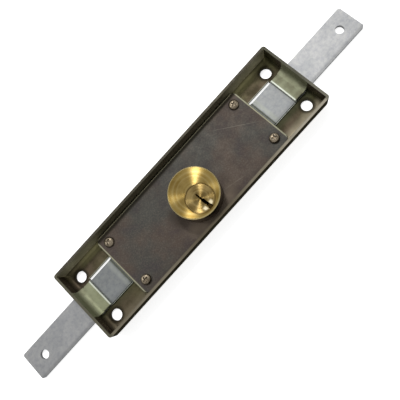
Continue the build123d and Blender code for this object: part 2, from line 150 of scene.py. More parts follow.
# %% [markdown]
# ## A short way to write node trees
# A material is a graph of nodes. Written one call at a time it takes a page, so these helpers add a node,
# set its sockets and return the output in one line. A finish then reads as a few sentences.

# %% Node helpers
class Finish:
    """A material under construction: its methods add nodes and return the socket that they make."""

    def __init__(self, name):
        self.material = bpy.data.materials.new(name)
        self.material.use_nodes = True
        self.tree = self.material.node_tree
        self.shader = self.tree.nodes["Principled BSDF"]
        self.place = self.node("ShaderNodeTexCoord").outputs["Object"]

    def node(self, kind, inputs=None, **settings):
        """Adds a node, sets its properties, and links or sets each named or numbered input."""
        made = self.tree.nodes.new(kind)
        for key, value in settings.items():
            setattr(made, key, value)
        for key, value in (inputs or {}).items():
            if isinstance(value, bpy.types.NodeSocket):
                self.tree.links.new(value, made.inputs[key])
            else:
                made.inputs[key].default_value = value
        return made

    def math(self, operation, a, b=0.0, clamp=False):
        """The result of one sum on one or two numbers."""
        return self.node("ShaderNodeMath", {0: a, 1: b}, operation=operation, use_clamp=clamp).outputs[0]

    def product(self, first, *others):
        """The product of masks, which is 1 only where all of them are 1."""
        for other in others:
            first = self.math("MULTIPLY", first, other)
        return first

    def vector(self, operation, a, b=(0, 0, 0)):
        """The result of one sum on one or two vectors: a number for a length or a dot product."""
        made = self.node("ShaderNodeVectorMath", {0: a, 1: b}, operation=operation)
        return made.outputs["Value"] if operation in ("LENGTH", "DOT_PRODUCT") else made.outputs[0]

    def axes(self):
        """The three Object coordinates as separate numbers, in metres."""
        split = self.node("ShaderNodeSeparateXYZ", {0: self.place})
        return split.outputs[0], split.outputs[1], split.outputs[2]

    def flat_from(self, centre):
        """Flat vector from a vertical axis to each point: place - centre, without its z."""
        return self.vector("MULTIPLY", self.vector("SUBTRACT", self.place, tuple(centre)), (1, 1, 0))

    def from_axis(self, centre):
        """Distance of each point from a vertical axis."""
        return self.vector("LENGTH", self.flat_from(centre))

    def noise(self, size, detail=4.0, rough=0.55, stretch=(1, 1, 1), shift=(0, 0, 0)):
        """Cloudy noise whose patches measure about size, in metres; stretch lengthens them along an axis."""
        scaled = self.node("ShaderNodeMapping", {"Vector": self.place, "Location": shift,
                                                 "Scale": [1 / s for s in stretch]}).outputs[0]
        return self.node("ShaderNodeTexNoise", {"Vector": scaled, "Scale": 1 / size, "Detail": detail,
                                                "Roughness": rough}).outputs[0]

    def span(self, value, low, high, to_low=0.0, to_high=1.0, smooth=True):
        """Takes value from low..high to another range, and holds it there outside."""
        return self.node("ShaderNodeMapRange", {"Value": value, "From Min": low, "From Max": high,
                                                "To Min": to_low, "To Max": to_high},
                         interpolation_type="SMOOTHSTEP" if smooth else "LINEAR").outputs[0]

    def mix(self, amount, a, b, blend="MIX"):
        """Colour a, going to colour b as amount goes from 0 to 1."""
        made = self.node("ShaderNodeMix", data_type="RGBA", blend_type=blend)
        for index, value in ((0, amount), (6, a), (7, b)):
            if isinstance(value, bpy.types.NodeSocket):
                self.tree.links.new(value, made.inputs[index])
            else:
                made.inputs[index].default_value = value
        return made.outputs[2]

    def bump(self, height, distance, strength):
        """A surface direction tilted by a height from 0 to 1 that stands for distance, in metres."""
        inputs = {"Height": height, "Distance": distance, "Strength": strength}
        return self.node("ShaderNodeBump", inputs).outputs[0]

    def set(self, **sockets):
        """Sets or links sockets of the surface shader; Base_Color means the socket Base Color."""
        for key, value in sockets.items():
            socket = self.shader.inputs[key.replace("_", " ")]
            if isinstance(value, bpy.types.NodeSocket):
                self.tree.links.new(value, socket)
            else:
                socket.default_value = value
        return self.material


# %% [markdown]
# ## The dark chromated steel of the case
# The tray is sheet steel with a thin dark passivated coat. Such a coat is never one colour: it goes from
# olive to brown to a faint violet over a few centimetres, and it is gone where the sheet was sheared. One
# noise with large patches chooses the hue, a second with small ones breaks it up, and the sheared edges are
# found by their distance from the cut lines. Painted light and shade are laid over this coat in several
# places below.

# %% Masks for the pressed edges and the strap
WINDOW_EDGE_SHARE = 0.35


def cut_line_mask(f):
    """1 on the strap's rolled inner edge, WINDOW_EDGE_SHARE on the window's far edge, 0 elsewhere.

    The strap's edge lies at |x| = STRAP_END and the window's at y = WINDOW_SIDE. Each line is a product of
    ramps, one each side of it, and fades where the edge ends.
    """
    x, y, z = f.axes()
    ax = f.math("ABSOLUTE", x)
    end = f.product(f.span(ax, STRAP_END + 0.5 * MM, STRAP_END + 1.1 * MM, 1, 0),
                    f.span(f.math("ABSOLUTE", y), STRAP_HALF, STRAP_HALF + 0.3 * MM, 1, 0))
    side = f.product(f.span(y, WINDOW_SIDE + 0.1 * MM, WINDOW_SIDE + 0.5 * MM, 1, 0),
                     f.span(y, WINDOW_SIDE - 0.4 * MM, WINDOW_SIDE - 0.2 * MM),
                     f.span(ax, STRAP_END, STRAP_END + 0.2 * MM, 1, 0), WINDOW_EDGE_SHARE)
    low = f.span(z, STRAP_TOP + 0.3 * MM, STRAP_TOP + 0.5 * MM, 1, 0)
    return f.product(f.math("MAXIMUM", end, side), low)


def strap_mask(f):
    """1 on the middle of the raised strap, a little less towards its two ends, and 0 beside and below it."""
    x, y, z = f.axes()
    ax = f.math("ABSOLUTE", x)
    middle = STRAP_END + 4.5 * MM
    along = f.product(f.span(ax, STRAP_END - 1 * MM, middle, 0.95, 1),
                      f.span(ax, middle + 1 * MM, HALF_LENGTH - SHEET / 2, 1, 0.9))
    across = f.span(f.math("ABSOLUTE", y), STRAP_HALF - 0.4 * MM, STRAP_HALF + 0.2 * MM, 1, 0)
    high = f.span(z, STRAP_TOP - SHEET + 0.1 * MM, STRAP_TOP - 0.2 * MM)
    return f.product(along, across, high)


# %% [markdown]
# The walls' outer faces are painted dark, as shade, and made more metallic. The inner face of the wall at
# +Y, which faces away from the lamps, is painted pale, as light, the palest place on the tray. Both are
# found by how far a point is from the walls' planes, and the painted shade round a hole by its distance from
# the hole's axis.

# %% Masks for the walls and the fixing holes
FAR_WALL_LIGHT_BESIDE_COVER = 0.25


def outside_mask(f):
    """1 on the outer faces of the two long walls and the two ends, below the rim."""
    x, y, z = f.axes()
    long_side = f.span(f.math("ABSOLUTE", y), HALF_WIDTH - 0.3 * MM, HALF_WIDTH - 0.1 * MM)
    end = f.span(f.math("ABSOLUTE", x), HALF_LENGTH - 0.3 * MM, HALF_LENGTH - 0.1 * MM)
    below = f.span(z, RIM_Z - 0.5 * MM, RIM_Z - 0.1 * MM, 1, 0)
    return f.product(f.math("MAXIMUM", long_side, end), below)


def hole_shade_mask(f):
    """1 at the edge of each fixing hole, falling to 0 over two millimetres of floor round it."""
    x, y, _ = f.axes()
    dx = f.math("SUBTRACT", f.math("ABSOLUTE", x), float(HOLE_CENTRE[0]))
    dy = f.math("SUBTRACT", f.math("ABSOLUTE", y), float(HOLE_CENTRE[1]))
    away = f.math("SQRT", f.math("ADD", f.product(dx, dx), f.product(dy, dy)))
    return f.span(away, HOLE_RADIUS + 0.6 * MM, HOLE_RADIUS + 2.3 * MM, 1, 0)


def far_wall_light_mask(f):
    """1 on the inner face of the wall at +Y above the bend, and FAR_WALL_LIGHT_BESIDE_COVER beside the cover."""
    x, y, z = f.axes()
    inner = HALF_WIDTH - SHEET
    face = f.product(f.span(y, inner - 0.4 * MM, inner - 0.1 * MM),
                     f.span(y, inner + 0.1 * MM, inner + 0.4 * MM, 1, 0))
    past_cover = f.span(f.math("ABSOLUTE", x), cover_high.x - 9 * MM, cover_high.x + 3 * MM,
                        FAR_WALL_LIGHT_BESIDE_COVER, 1)
    return f.product(face, f.span(z, SHEET, 2 * SHEET), past_cover)


# %% [markdown]
# The coat is built in steps: the clouds of hue first, then the painted light and shade, where places are
# lighter or darker than the rest. Each step takes the colour so far and returns the next, so one can be left
# out to see what it does.

# %% The tray's floor
BROWN_CORNER_X, BROWN_CORNER_Y = (-70 * MM, -50 * MM), (-12 * MM, -9 * MM)
FAR_STRIP_Y, FAR_STRIP_X = (16.4 * MM, 18.8 * MM), (69 * MM, 76 * MM)
NEAR_STRIP_Y, MIDDLE_TO_RIGHT = (-19.5 * MM, -15 * MM), (0, 60 * MM)
DARK_STRIP_Y, DARK_STRIP_END = (-15.5 * MM, -11 * MM), (0, 4 * MM)
GAP_WALL_Y, GAP_BOLT_Y = (-10.5 * MM, -9.9 * MM), (-8.9 * MM, -8.7 * MM)


def tray_coat(f, hue, patches, grain):
    """Olive to brown clouds with dull stains and pale grain; the near left corner is browner."""
    x, y, _ = f.axes()
    corner = f.product(f.span(x, *BROWN_CORNER_X, 0.8, 0), f.span(y, *BROWN_CORNER_Y, 1, 0))
    tone = f.math("MAXIMUM", f.span(hue, 0.38, 0.6), corner)
    colour = f.mix(tone, linear(72, 71, 47), linear(77, 67, 55))
    colour = f.mix(f.span(patches, 0.42, 0.68, 0, 0.6), colour, linear(56, 52, 36))
    return f.mix(f.span(grain, 0.35, 0.75, 0, 0.2), colour, linear(96, 90, 72))


def paint_floor_light_and_shade(f, colour):
    """Painted light on floor strips by the long walls; painted shade by the bolts' near edge."""
    x, y, z = f.axes()
    ax = f.math("ABSOLUTE", x)
    on_floor = f.span(z, 2 * SHEET, 3 * SHEET, 1, 0)
    # Painted light along the far wall, where its shadow would fall, and along the near wall.
    far_painted_light = f.product(f.span(y, *FAR_STRIP_Y), f.span(ax, *FAR_STRIP_X, 0.9, 0.3), on_floor)
    colour = f.mix(far_painted_light, colour, linear(116, 112, 80))
    near_painted_light = f.product(f.span(y, *NEAR_STRIP_Y, 1, 0), f.span(x, *MIDDLE_TO_RIGHT, 0.3, 1), on_floor)
    colour = f.mix(near_painted_light, colour, linear(124, 116, 98))
    # Painted shade on the floor beside the bolts' near edge.
    beside = f.product(f.span(y, *DARK_STRIP_Y), f.span(y, *DARK_STRIP_END, 1, 0), on_floor,
                       f.span(x, *MIDDLE_TO_RIGHT, 0.3, 0.85))
    colour = f.mix(beside, colour, linear(48, 50, 34))
    # Near black painted shade in the narrow space just beside the bolt.
    gap = f.product(f.span(y, *GAP_WALL_Y), f.span(ax, STRAP_END, STRAP_END + 0.3 * MM, 1, 0),
                    on_floor, f.span(y, *GAP_BOLT_Y, 1, 0))
    return f.mix(gap, colour, linear(26, 26, 18))


# %% [markdown]
# The strap was pressed up between two cuts, and the rim is a sheared edge. Both are lighter than the floor,
# and their painted light and shade change along the tray, which is set here by ramps along x and y.

# %% The strap and the rim
RIM_RIGHT_X = (30 * MM, 72 * MM)
RIM_SHADE_X, RIM_SHADE_REACH = -5 * MM, (8 * MM, 40 * MM)


def strap_colour_and_light(f, hue, patches):
    """The strap's coat: brown and olive clouds, with painted light towards the end wall and on the left."""
    x = f.axes()[0]
    ax = f.math("ABSOLUTE", x)
    # Painted light towards the end wall, where the strap bends up.
    colour = f.mix(f.span(ax, STRAP_END + 5 * MM, HALF_LENGTH - SHEET), linear(118, 120, 99),
                   linear(142, 144, 119))
    colour = f.mix(f.span(patches, 0.42, 0.66, 0, 0.45), colour, linear(98, 92, 74))
    colour = f.mix(f.span(hue, 0.4, 0.6, 0.3, 0), colour, linear(112, 120, 84))
    # Painted light on the left strap.
    return f.mix(f.span(x, -10 * MM, 10 * MM, 0.3, 0), colour, linear(152, 155, 128))


def rim_colour_and_light(f):
    """The sheared rim: painted light on the near rim, most at the right, and painted shade by the cylinder.
    """
    x, y, _ = f.axes()
    near = f.mix(f.span(x, *RIM_RIGHT_X), linear(106, 100, 86), linear(140, 134, 120))
    middle = f.span(f.math("ABSOLUTE", f.math("SUBTRACT", x, RIM_SHADE_X)), *RIM_SHADE_REACH, 0.75, 0)
    near = f.mix(middle, near, linear(70, 62, 50))
    # Less of the painted light on the inner half of the near rim.
    inner_half = f.span(y, 0.6 * SHEET - HALF_WIDTH, SHEET - HALF_WIDTH, 0, 0.5)
    near = f.mix(inner_half, near, linear(66, 62, 52))
    colour = f.mix(f.span(y, SHEET - HALF_WIDTH, 1.2 * SHEET - HALF_WIDTH), near, linear(66, 63, 54))
    # The right end's rim is painted darker against a lamp's highlight, paler towards the near side.
    right = f.mix(f.span(y, -20 * MM, 0), linear(100, 98, 87), linear(72, 71, 61))
    colour = f.mix(f.span(x, HALF_LENGTH - 2 * SHEET, HALF_LENGTH - SHEET), colour, right)
    return f.mix(f.span(x, 2 * SHEET - HALF_LENGTH, SHEET - HALF_LENGTH), colour, linear(82, 80, 67))


# %% [markdown]
# The finish puts the steps together with the three noises. The coat hides some of the metal, so the surface
# is not fully metallic, and it has a low warm gleam.

# %% The tray's finish
GRAIN_HEIGHT = 0.02 * MM


def tray_finish():
    """Dark chromate on the tray, bare cut edges, painted light and shade; the outside is more metallic."""
    f = Finish("dark_chromate_tray")
    hue = f.noise(30 * MM, detail=3.0, stretch=(1.5, 1, 1))
    patches = f.noise(6 * MM, detail=5.0, rough=0.6, shift=(0.3, 0.1, 0))
    grain = f.noise(0.9 * MM, detail=3.0, rough=0.7)
    z = f.axes()[2]
    colour = paint_floor_light_and_shade(f, tray_coat(f, hue, patches, grain))
    colour = f.mix(strap_mask(f), colour, strap_colour_and_light(f, hue, patches))
    # Painted light on the inner face of the wall at +Y, which lies in shade; it is less metallic there too.
    wall = f.mix(f.span(z, 0.3 * RIM_Z, 0.9 * RIM_Z), linear(174, 169, 138), linear(150, 146, 120))
    colour = f.mix(far_wall_light_mask(f), colour, wall)
    # Painted shade round each fixing hole.
    colour = f.mix(f.product(hole_shade_mask(f), 0.75), colour, linear(30, 27, 20))
    # Painted shade on the walls' outer faces.
    colour = f.mix(f.product(outside_mask(f), 0.9), colour, linear(46, 44, 34))
    # The rim, with its painted light and shade.
    colour = f.mix(f.span(z, RIM_Z - 0.2 * MM, RIM_Z - 0.05 * MM), colour, rim_colour_and_light(f))
    colour = f.mix(cut_line_mask(f), colour, linear(186, 190, 178))
    metal = f.math("SUBTRACT", f.span(outside_mask(f), 0, 1, 0.7, 1.0, smooth=False),
                   f.product(far_wall_light_mask(f), 0.4))
    f.set(Specular_IOR_Level=0.2, Specular_Tint=(0.25, 0.24, 0.2, 1))
    return f.set(Base_Color=colour, Metallic=metal, Roughness=f.span(patches, 0.3, 0.7, 0.46, 0.6),
                 Normal=f.bump(grain, GRAIN_HEIGHT, 0.3))


# %% [markdown]
# ## The cover plate
# The plate has the same coat over a smoother sheet. It shows more brown and violet, with pale scuffs where
# it was stacked and handled, and its sheared outline carries a thin light line, part wear and part painted
# highlight, with painted shade beside the back edge. A few scratches run across it, each a straight line
# between two points in millimetres.

# %% Thin scratches on the cover
SCRATCHES = (((30, 16.5), (57, -5)), ((11, -13), (27, -17)))
SCRATCH_HALF = 0.08 * MM


def scratch_mask(f):
    """1 along each scratch, falling to 0 three half widths from it and towards its two ends.

    The distance of a place p from the line from a to b is |p - a - t (b - a)|, where t is the dot product of
    p - a and b - a over the length of b - a squared, held between 0 and 1.
    """
    total = 0.0
    for a, b in SCRATCHES:
        start = Vector((*a, 0)) * MM
        way = Vector((b[0] - a[0], b[1] - a[1], 0)) * MM
        flat = f.flat_from(start)
        t = f.math("DIVIDE", f.vector("DOT_PRODUCT", flat, tuple(way)), way.length_squared, clamp=True)
        near = f.node("ShaderNodeVectorMath", {0: tuple(way), "Scale": t}, operation="SCALE").outputs[0]
        away = f.vector("LENGTH", f.vector("SUBTRACT", flat, near))
        ends = f.product(f.span(t, 0, 0.3), f.span(t, 0.7, 1, 1, 0))
        total = f.math("MAXIMUM", total, f.product(f.span(away, SCRATCH_HALF, 3 * SCRATCH_HALF, 1, 0), ends))
    return total


# %% The cover's finish
def cover_coat(f, cloud, grain):
    """Brown to grey clouds with a little violet, pale grain and scuffs, and the scratches."""
    hue = f.noise(24 * MM, detail=4.0, shift=(0.11, 0.27, 0))
    scuff = f.noise(3.2 * MM, detail=6.0, rough=0.65, stretch=(1, 1.6, 1), shift=(0.9, 0.4, 0))
    colour = f.mix(f.span(hue, 0.36, 0.62), linear(55, 54, 50), linear(64, 54, 47))
    colour = f.mix(f.span(cloud, 0.45, 0.75, 0, 0.5), colour, linear(60, 52, 55))
    colour = f.mix(f.span(grain, 0.42, 0.7, 0, 0.34), colour, linear(92, 86, 76))
    colour = f.mix(f.span(scuff, 0.64, 0.78, 0, 0.3), colour, linear(108, 104, 94))
    return f.mix(f.product(scratch_mask(f), 0.24), colour, linear(128, 124, 112))


def paint_light_and_shade_round_cylinder(f, colour):
    """Painted light in front of the cylinder's foot, painted shade on its left, fading in a few mm."""
    x, y, _ = f.axes()
    away = f.from_axis(BODY_CENTRE)
    front = f.product(f.span(y, BODY_CENTRE.y - 12 * MM, BODY_CENTRE.y - 5 * MM, 0.9, 0),
                      f.span(away, 17 * MM, 25 * MM, 1, 0))
    # Painted light where the lamps cast the cylinder's shadow.
    colour = f.mix(front, colour, linear(94, 83, 71))
    off_middle = f.math("ABSOLUTE", f.math("SUBTRACT", y, BODY_CENTRE.y))
    left = f.product(f.span(x, BODY_CENTRE.x - 15 * MM, BODY_CENTRE.x - 11 * MM, 0.8, 0),
                     f.span(away, 17 * MM, 23 * MM, 1, 0), f.span(off_middle, 3 * MM, 9 * MM, 1, 0))
    return f.mix(left, colour, linear(44, 36, 28))


def cover_finish():
    """Brown chromate cover: its coat, painted highlight, wear and shade at three edges, and dark sides."""
    f = Finish("brown_chromate_cover")
    x, y, z = f.axes()
    cloud = f.noise(8 * MM, detail=5.0, rough=0.6, shift=(0.6, 0.2, 0))
    grain = f.noise(0.8 * MM, detail=3.0, rough=0.7)
    colour = paint_light_and_shade_round_cylinder(f, cover_coat(f, cloud, grain))
    to_end = f.math("SUBTRACT", cover_high.x, f.math("ABSOLUTE", x))
    to_back = f.math("SUBTRACT", cover_high.y, y)
    # Painted shade in a band beside the back edge.
    dark = f.product(f.span(to_back, 0.7 * MM, 1.2 * MM), f.span(to_back, 1.9 * MM, 3.4 * MM, 0.7, 0))
    colour = f.mix(dark, colour, linear(44, 40, 28))
    # Painted highlight along the back edge.
    colour = f.mix(f.span(to_back, 0.5 * MM, 0.9 * MM, 1, 0), colour, linear(146, 142, 118))
    # Along the two ends a light line that is partly wear and partly painted highlight, broken up by the
    # clouds.
    wear_and_edge_light = f.product(f.span(to_end, 0.6 * MM, 1.2 * MM, 1, 0), f.span(cloud, 0.25, 0.6, 0.75, 1.0))
    colour = f.mix(wear_and_edge_light, colour, linear(140, 138, 116))
    side = f.span(z, cover_high.z - 0.8 * MM, cover_high.z - 0.5 * MM, 1, 0)
    colour = f.mix(side, colour, linear(50, 46, 34))
    return f.set(Base_Color=colour, Metallic=0.7, Roughness=f.span(cloud, 0.3, 0.7, 0.5, 0.62),
                 Normal=f.bump(grain, GRAIN_HEIGHT, 0.3))


# %% [markdown]
# ## Zinc on the bolts
# The bolts are bright zinc plated. Fresh zinc is pale grey with a slight blue, a little mottled, and light
# streaks run along the bar, since the bar was drawn and the plate follows the drawing marks. Where the bar
# steps down below the strap, at the joggle, the bend carries painted light and the crease at its foot
# painted shade.

# %% The bolts' finish
BOLT_NEAR_EDGE_SHADE_Y = (-8.4 * MM, -6.8 * MM)
SPECK_TINT, FLAKE_TINT = (0.84, 0.845, 0.88, 1), (1.1, 1.095, 1.07, 1)


def zinc_coat(f, shade):
    """Mottled zinc with drawing marks; shade is painted shade, from none at 0 to a duller grey at 1."""
    cloud = f.noise(9 * MM, detail=5.0, rough=0.6)
    streak = f.noise(0.5 * MM, detail=3.0, stretch=(18, 1, 1))
    colour = f.mix(f.span(cloud, 0.35, 0.68), linear(153, 154, 155), linear(178, 178, 178))
    colour = f.mix(f.span(streak, 0.4, 0.7, 0, 0.2), colour, linear(176, 176, 172))
    return f.mix(shade, colour, linear(100, 101, 102)), cloud, streak


def mottle(f, colour):
    """Small cool specks and small warm flakes, each a tint that the colour is multiplied by."""
    speck = f.noise(2.1 * MM, detail=4.0, rough=0.65, shift=(0.4, 0.7, 0))
    flake = f.noise(2.6 * MM, detail=4.0, rough=0.7, shift=(0.1, 0.3, 0))
    colour = f.mix(f.span(speck, 0.4, 0.7), colour, SPECK_TINT, "MULTIPLY")
    return f.mix(f.span(flake, 0.4, 0.66), colour, FLAKE_TINT, "MULTIPLY")


def zinc_finish(name, shade, inside):
    """Zinc on one bolt; shade paints shade over it all, and inside is how grey it goes within the walls."""
    f = Finish(name)
    x, y, z = f.axes()
    ax = f.math("ABSOLUTE", x)
    colour, cloud, streak = zinc_coat(f, shade)
    within = f.span(ax, HALF_LENGTH - 2 * SHEET, HALF_LENGTH, inside, 0)
    colour = mottle(f, f.mix(within, colour, linear(105, 108, 108)))
    # Painted shade on the bolt's sides outside the case.
    side = f.product(f.span(z, BOLT_TOP - 0.5 * MM, BOLT_TOP - 0.2 * MM, 0.8, 0),
                     f.span(ax, HALF_LENGTH - SHEET, HALF_LENGTH))
    colour = f.mix(side, colour, linear(84, 85, 86))
    bend_light = 0.6 - 0.5 * shade
    # Painted light on the joggle's bend.
    bend_painted_light = f.product(f.span(ax, JOGGLE_X + 0.6 * MM, JOGGLE_X + 2 * MM),
                    f.span(ax, JOGGLE_X + 2.4 * MM, JOGGLE_X + 4.5 * MM, bend_light, 0))
    colour = f.mix(bend_painted_light, colour, linear(146, 149, 140))
    # Painted shade along the bolt's near edge, where its side face would show.
    colour = f.mix(f.span(y, *BOLT_NEAR_EDGE_SHADE_Y, 0.33, 0), colour, linear(84, 85, 84))
    # Painted shade in the crease at the joggle's foot.
    crease = f.product(f.span(ax, JOGGLE_X - 0.9 * MM, JOGGLE_X - 0.1 * MM),
                       f.span(ax, JOGGLE_X + 0.1 * MM, JOGGLE_X + 1.1 * MM, 0.8, 0))
    colour = f.mix(crease, colour, linear(84, 88, 72))
    return f.set(Base_Color=colour, Metallic=0.9, Roughness=f.span(cloud, 0.3, 0.7, 0.54, 0.64),
                 Normal=f.bump(streak, GRAIN_HEIGHT, 0.3))


# %% [markdown]
# ## Turned brass
# A face that was turned on a lathe has fine rings, and light on it gathers into a bow-tie that points at
# the lamp. A shader can do this with anisotropy, which stretches a highlight along one direction and keeps
# it narrow across. The stretch has to run across the rings, straight out from the centre. Because that
# direction is worked out from Object coordinates, it turns with the piece.

# %% Outward direction and the turned finish
RINGS_PER_METRE = 2400.0
BANDS_PER_METRE = 420.0


def outward(f, centre):
    """Unit vector in world space that points from a vertical axis to each point."""
    turned = f.node("ShaderNodeVectorTransform", {0: f.flat_from(centre)}, vector_type="VECTOR",
                    convert_from="OBJECT", convert_to="WORLD").outputs[0]
    return f.vector("NORMALIZE", turned)


def turned_brass(name, centre, pale, deep):
    """Brass with lathe rings round one axis; returns the finish and its colour, for what comes on top."""
    f = Finish(name)
    radius = f.from_axis(centre)
    fine, coarse = [f.node("ShaderNodeCombineXYZ", {axis: radius}).outputs[0] for axis in (0, 1)]
    rings = f.node("ShaderNodeTexNoise", {"Vector": fine, "Scale": RINGS_PER_METRE,
                                          "Detail": 3.0}).outputs[0]
    bands = f.node("ShaderNodeTexNoise", {"Vector": coarse, "Scale": BANDS_PER_METRE,
                                          "Detail": 2.0}).outputs[0]
    cloud = f.noise(5 * MM, detail=4.0, shift=(0.2, 0.5, 0))
    colour = f.mix(f.span(cloud, 0.36, 0.66), pale, deep)
    colour = f.mix(f.span(bands, 0.4, 0.65, 0, 0.35), colour, linear(170, 154, 108))
    colour = f.mix(f.span(rings, 0.35, 0.7, 0, 0.25), colour, linear(100, 78, 34))
    rough = f.span(cloud, 0.3, 0.7, 0.28, 0.34)
    f.set(Metallic=1.0, Roughness=rough, Anisotropic=1.0)
    f.set(Tangent=outward(f, centre), Normal=f.bump(rings, 0.01 * MM, 0.2))
    return f, colour


# %% [markdown]
# The body and the plug are of one brass. The plug has painted glints beside its keyway, and the keyway is
# painted black, as shade. Places on the plug are measured in its own direction, along and across the keyway.

# %% The cylinder's two brass finishes
def body_brass():
    """Body brass: painted highlight on the chamfer, painted shade on the side, and a dark line at the plug.
    """
    f, colour = turned_brass("turned_brass_body", BODY_CENTRE, linear(136, 116, 66), linear(118, 97, 48))
    z = f.axes()[2]
    radius = (body_high.x - body_low.x) / 2
    seam = f.span(f.from_axis(PLUG_CENTRE), PLUG_RADIUS + 0.15 * MM, PLUG_RADIUS + 0.7 * MM, 0.65, 0)
    colour = f.mix(seam, colour, linear(70, 52, 22))
    # Painted highlight on the chamfer's ring.
    ring = f.span(f.from_axis(BODY_CENTRE), radius - 0.75 * MM, radius - 0.5 * MM)
    colour = f.mix(ring, colour, linear(154, 139, 95))
    # Painted shade on the body's side.
    side = f.span(z, body_high.z - 0.9 * MM, body_high.z - 0.6 * MM, 0.85, 0)
    colour = f.mix(side, colour, linear(84, 64, 28))
    return f.set(Base_Color=colour)


def plug_brass():
    """The plug's brass: dark rim and middle, painted shade in the keyway, and painted glints beside it."""
    f, colour = turned_brass("turned_brass_plug", PLUG_CENTRE, linear(142, 122, 78), linear(98, 80, 44))
    z = f.axes()[2]
    away = f.from_axis(PLUG_CENTRE)
    turned = f.vector("SUBTRACT", f.place, tuple(PLUG_CENTRE))
    turned = f.node("ShaderNodeVectorRotate", {"Vector": turned, "Angle": -PLUG_CLOCK},
                    rotation_type="Z_AXIS").outputs[0]
    local = f.node("ShaderNodeSeparateXYZ", {0: turned}).outputs
    across = f.math("ABSOLUTE", local[0])
    # Painted glints beside the keyway's mouth.
    keyway_glints = f.product(f.span(across, 1.1 * MM, 1.6 * MM), f.span(across, 2.5 * MM, 3.7 * MM, 1, 0),
                       f.span(local[1], -5.3 * MM, -3.9 * MM, 1, 0),
                       f.span(away, PLUG_RADIUS - 1.3 * MM, PLUG_RADIUS - 0.6 * MM, 1, 0))
    colour = f.mix(f.span(away, 3.2 * MM, 5 * MM, 0.5, 0), colour, linear(70, 54, 22))
    colour = f.mix(keyway_glints, colour, linear(240, 227, 190))
    rim = f.span(away, PLUG_RADIUS - 0.6 * MM, PLUG_RADIUS - 0.2 * MM, 0, 0.55)
    colour = f.mix(rim, colour, linear(70, 52, 22))
    # Painted shade, near black, inside the keyway.
    keyway = f.product(f.span(across, 1.6 * MM, 1.9 * MM, 1, 0),
                       f.span(z, plug_high.z - 1.3 * MM, plug_high.z - 0.7 * MM, 1, 0))
    colour = f.mix(keyway, colour, linear(16, 11, 6))
    return f.set(Base_Color=colour)


# %% [markdown]
# ## Plain, oiled and spring steel
# Most pieces inside are never seen unless the lock is taken apart, but each still has its own finish:
# machined steel with faint tool marks and a film of oil, drawn spring wire, brass pins and dark screws.

# %% Finishes of the small pieces
TOOL_MARK_HEIGHT = 0.015 * MM


def plain_metal(name, colour, dark, roughness, grain_size):
    """A one-metal finish: cloudy between two colours, with fine grain as bump."""
    f = Finish(name)
    cloud = f.noise(2.5 * MM, detail=4.0, rough=0.6)
    grain = f.noise(grain_size, detail=3.0, rough=0.7)
    mixed = f.mix(f.span(cloud, 0.35, 0.7), colour, dark)
    rough = f.span(cloud, 0.3, 0.7, roughness - 0.05, roughness + 0.08)
    return f.set(Base_Color=mixed, Metallic=1.0, Roughness=rough,
                 Normal=f.bump(grain, TOOL_MARK_HEIGHT, 0.4))


PIN_BRASS = plain_metal("pin_brass", linear(196, 166, 98), linear(176, 140, 74), 0.3, 0.4 * MM)
MACHINED = plain_metal("machined_steel", linear(150, 150, 150), linear(120, 120, 122), 0.32, 0.5 * MM)
SCREW = plain_metal("dark_screw", linear(126, 118, 104), linear(92, 84, 72), 0.34, 0.5 * MM)
SCREW_TOP = plain_metal("worn_screw_head", linear(124, 114, 98), linear(84, 75, 62), 0.34, 0.6 * MM)
SPRING = plain_metal("spring_steel", linear(150, 152, 158), linear(112, 114, 120), 0.26, 0.3 * MM)
print("plain metals:", [finish.name for finish in (PIN_BRASS, MACHINED, SCREW, SCREW_TOP, SPRING)])

# %% [markdown]
# Every node now gets one finish, and pieces of one kind share it.

# %% Every node gets its finish
TRAY, COVER = tray_finish(), cover_finish()
# The left bolt is the same zinc with painted shade, as it stands further from the lamps.
ZINC_RIGHT = zinc_finish("bright_zinc_right", shade=0.0, inside=0.55)
ZINC_LEFT_SHADED = zinc_finish("bright_zinc_left_painted_shade", shade=0.54, inside=0.8)
BODY_BRASS, PLUG_BRASS = body_brass(), plug_brass()
NODE_FINISH = {
    "case": TRAY, "cover_plate": COVER, "cover_posts": MACHINED, "cover_screws": SCREW,
    "cylinder_body": BODY_BRASS, "cylinder_screws": SCREW, "plug": PLUG_BRASS, "plug_clip": SPRING,
    "key_pins": PIN_BRASS, "driver_pins": PIN_BRASS, "pin_springs": SPRING, "chamber_caps": PIN_BRASS,
    "drive_pinion": MACHINED, "idler_gear": MACHINED, "idler_axle": MACHINED, "idler_washer": MACHINED,
    "bolt_right": ZINC_RIGHT, "bolt_left": ZINC_LEFT_SHADED, "tail_bush": PIN_BRASS, "guide_studs": MACHINED,
}
for node, finish in NODE_FINISH.items():
    mesh = NODES[node].data
    mesh.materials.clear()
    mesh.materials.append(finish)
print("finishes:", len(set(NODE_FINISH.values())), "on", len(NODE_FINISH), "nodes")

# %% [markdown]
# ## Pieces finer than the construction
# The construction draws a screw as a plain shank and a spring as four-sided wire. Close to, a screw is known
# by its thread and by the slope of its recess, and a spring by round wire and closed ends. Both are grids of
# points: one direction runs along a profile or a path, the other runs round. Working them out as arrays
# keeps the formula in sight, and one helper turns any such grid into a mesh.

# %% A grid of points becomes a piece
MERGE_DISTANCE = 0.0005 * MM
SHARP_EDGE = math.radians(40)


